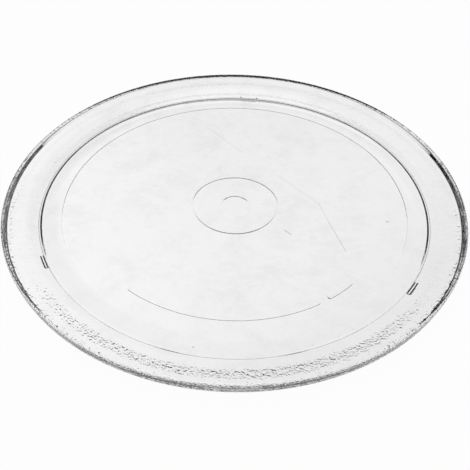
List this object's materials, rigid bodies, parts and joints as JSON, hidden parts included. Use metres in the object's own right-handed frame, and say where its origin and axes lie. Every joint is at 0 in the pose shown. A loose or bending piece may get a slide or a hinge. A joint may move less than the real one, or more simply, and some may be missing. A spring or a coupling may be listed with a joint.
{
  "type": "microwave turntable plate",
  "caption": "Clear pressed-glass microwave turntable plate with a raised stippled rim, and a roller track, guide rib and small lugs on its underside.",
  "frame": {"origin": "centre of the plate, at the feet of the lugs that it stands on", "axes": "+Z along the turning axis towards the food side, +Y towards the first lug"},
  "size_m": [0.28, 0.28, 0.0123],
  "materials": {
    "clear_glass": "fire-polished clear glass, stippled on the underside of the rim"
  },
  "bodies": {
    "root": {"turntable_plate": "clear_glass"}
  },
  "joints": []
}
